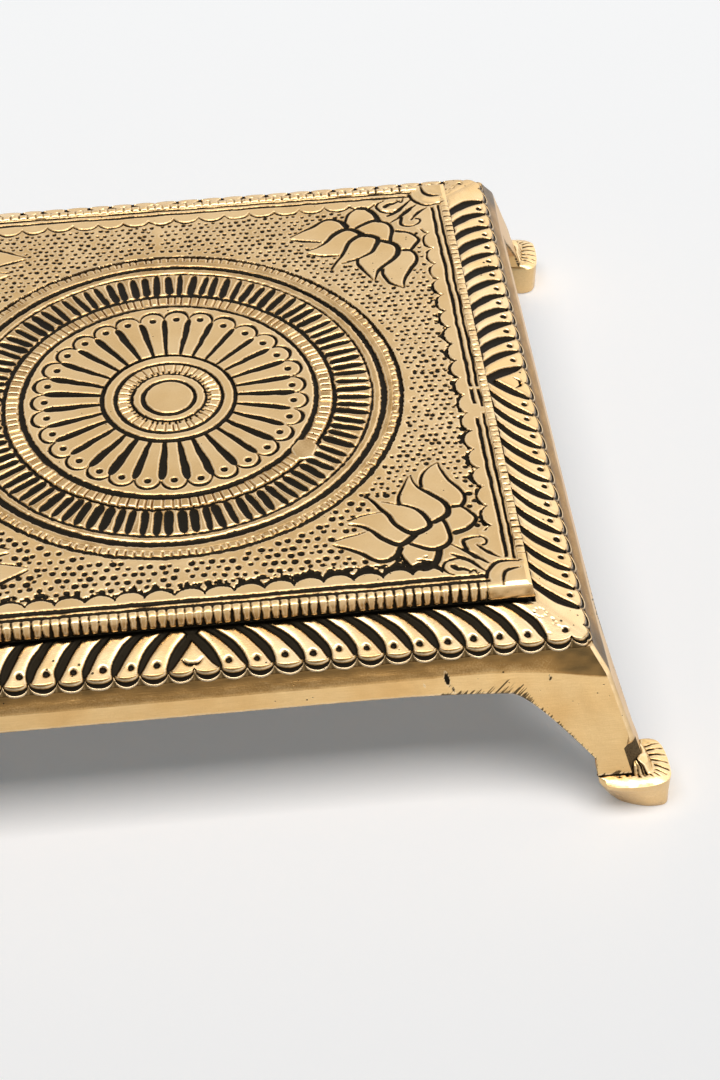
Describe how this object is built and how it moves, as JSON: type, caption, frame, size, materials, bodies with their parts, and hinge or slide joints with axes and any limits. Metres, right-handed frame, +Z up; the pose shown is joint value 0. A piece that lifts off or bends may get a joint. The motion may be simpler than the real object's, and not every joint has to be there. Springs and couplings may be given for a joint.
{
  "type": "low table",
  "caption": "Low square brass table with a chased top, a gadrooned rim, arched flared sides and fan-shaped corner feet, to raise a dish or an offering.",
  "frame": {"origin": "on the floor below the middle of the top plate", "axes": "+Z up, +X to the right, +Y to the back, both along the plate's sides"},
  "size_m": [0.2452, 0.2452, 0.0582],
  "materials": {
    "chased_brass": "cast brass, chased and polished, black patina in the cuts",
    "gadrooned_brass": "polished tongues with black patina between them",
    "brushed_brass": "fine brushed, with casting pits and file marks",
    "polished_brass": "polished, with black patina between the ribs",
    "fixing_brass": "plain turned"
  },
  "bodies": {
    "root": {"top_plate": "chased_brass", "border_frame": "gadrooned_brass", "front_panel": "brushed_brass", "right_panel": "brushed_brass", "back_panel": "brushed_brass", "left_panel": "brushed_brass", "front_right_post": "brushed_brass", "front_right_foot": "polished_brass", "front_right_plate_rivet": "fixing_brass", "front_right_foot_pin": "fixing_brass", "back_right_post": "brushed_brass", "back_right_foot": "polished_brass", "back_right_plate_rivet": "fixing_brass", "back_right_foot_pin": "fixing_brass", "back_left_post": "brushed_brass", "back_left_foot": "polished_brass", "back_left_plate_rivet": "fixing_brass", "back_left_foot_pin": "fixing_brass", "front_left_post": "brushed_brass", "front_left_foot": "polished_brass", "front_left_plate_rivet": "fixing_brass", "front_left_foot_pin": "fixing_brass"}
  },
  "joints": []
}
